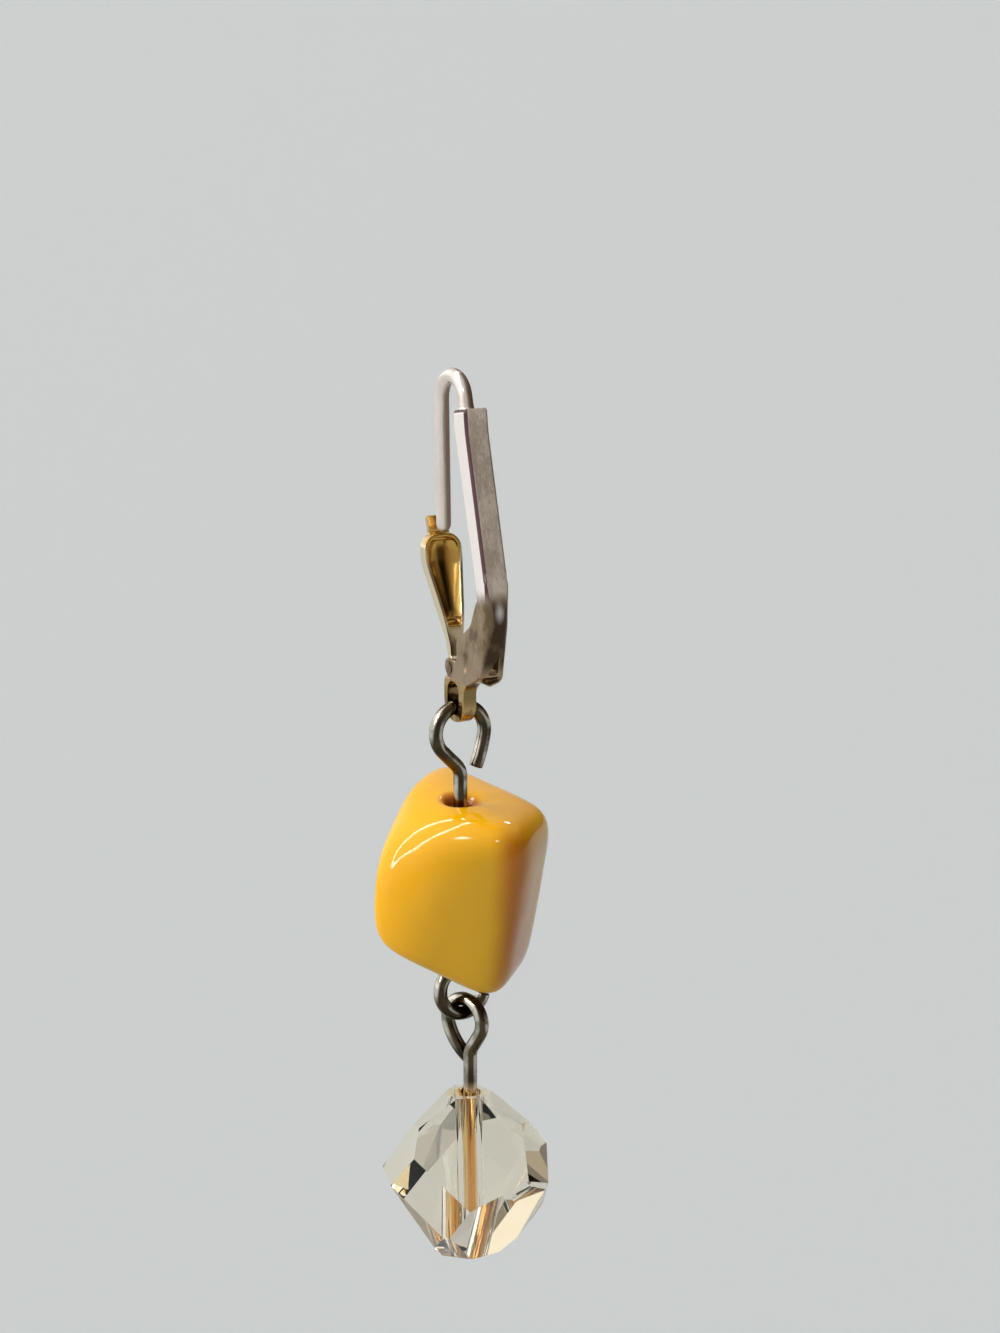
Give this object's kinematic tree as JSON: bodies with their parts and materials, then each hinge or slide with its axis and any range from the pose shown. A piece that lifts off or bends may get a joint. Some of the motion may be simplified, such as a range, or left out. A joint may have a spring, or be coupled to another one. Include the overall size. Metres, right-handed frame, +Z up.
{
  "type": "leverback drop earring",
  "caption": "Leverback earring: a hinged teardrop lever closes a bent ear wire, and below hang an irregular polished nugget and a faceted bead on open wire eyes.",
  "frame": {"origin": "underside of the ear wire's crown, on its middle line, where the earring hangs in the ear", "axes": "+Z up as the earring hangs, -Y towards the front of the square bar, +X across the ear wire"},
  "size_m": [0.0092, 0.0099, 0.0428],
  "materials": {
    "finding_metal": "worn polished silver with fine scratches",
    "wire_metal": "polished, slightly dark",
    "yellow_nugget": "opaque, highly polished",
    "clear_crystal": "clear cut glass with a champagne tint"
  },
  "bodies": {
    "front_frame": {"front_frame": "finding_metal", "hinge_pin": "finding_metal"},
    "lever": {"lever": "finding_metal"},
    "nugget_drop": {"nugget_eye_wire": "wire_metal", "nugget_bead": "yellow_nugget"},
    "crystal_drop": {"crystal_head_pin": "wire_metal", "crystal_bead": "clear_crystal"}
  },
  "joints": [
    {"name": "lever_hinge", "type": "hinge", "parent": "front_frame", "child": "lever", "pos_m": [0, -0.00066, -0.01317], "axis": [-1, 0, 0], "range_deg": [0, 55]},
    {"name": "nugget_swing", "type": "hinge", "parent": "front_frame", "child": "nugget_drop", "pos_m": [0, -0.00059, -0.01502], "axis": [1, 0, 0], "range_deg": [-25, 25]},
    {"name": "crystal_swing", "type": "hinge", "parent": "nugget_drop", "child": "crystal_drop", "pos_m": [0, -0.00059, -0.03005], "axis": [1, 0, 0], "range_deg": [-25, 25]}
  ]
}
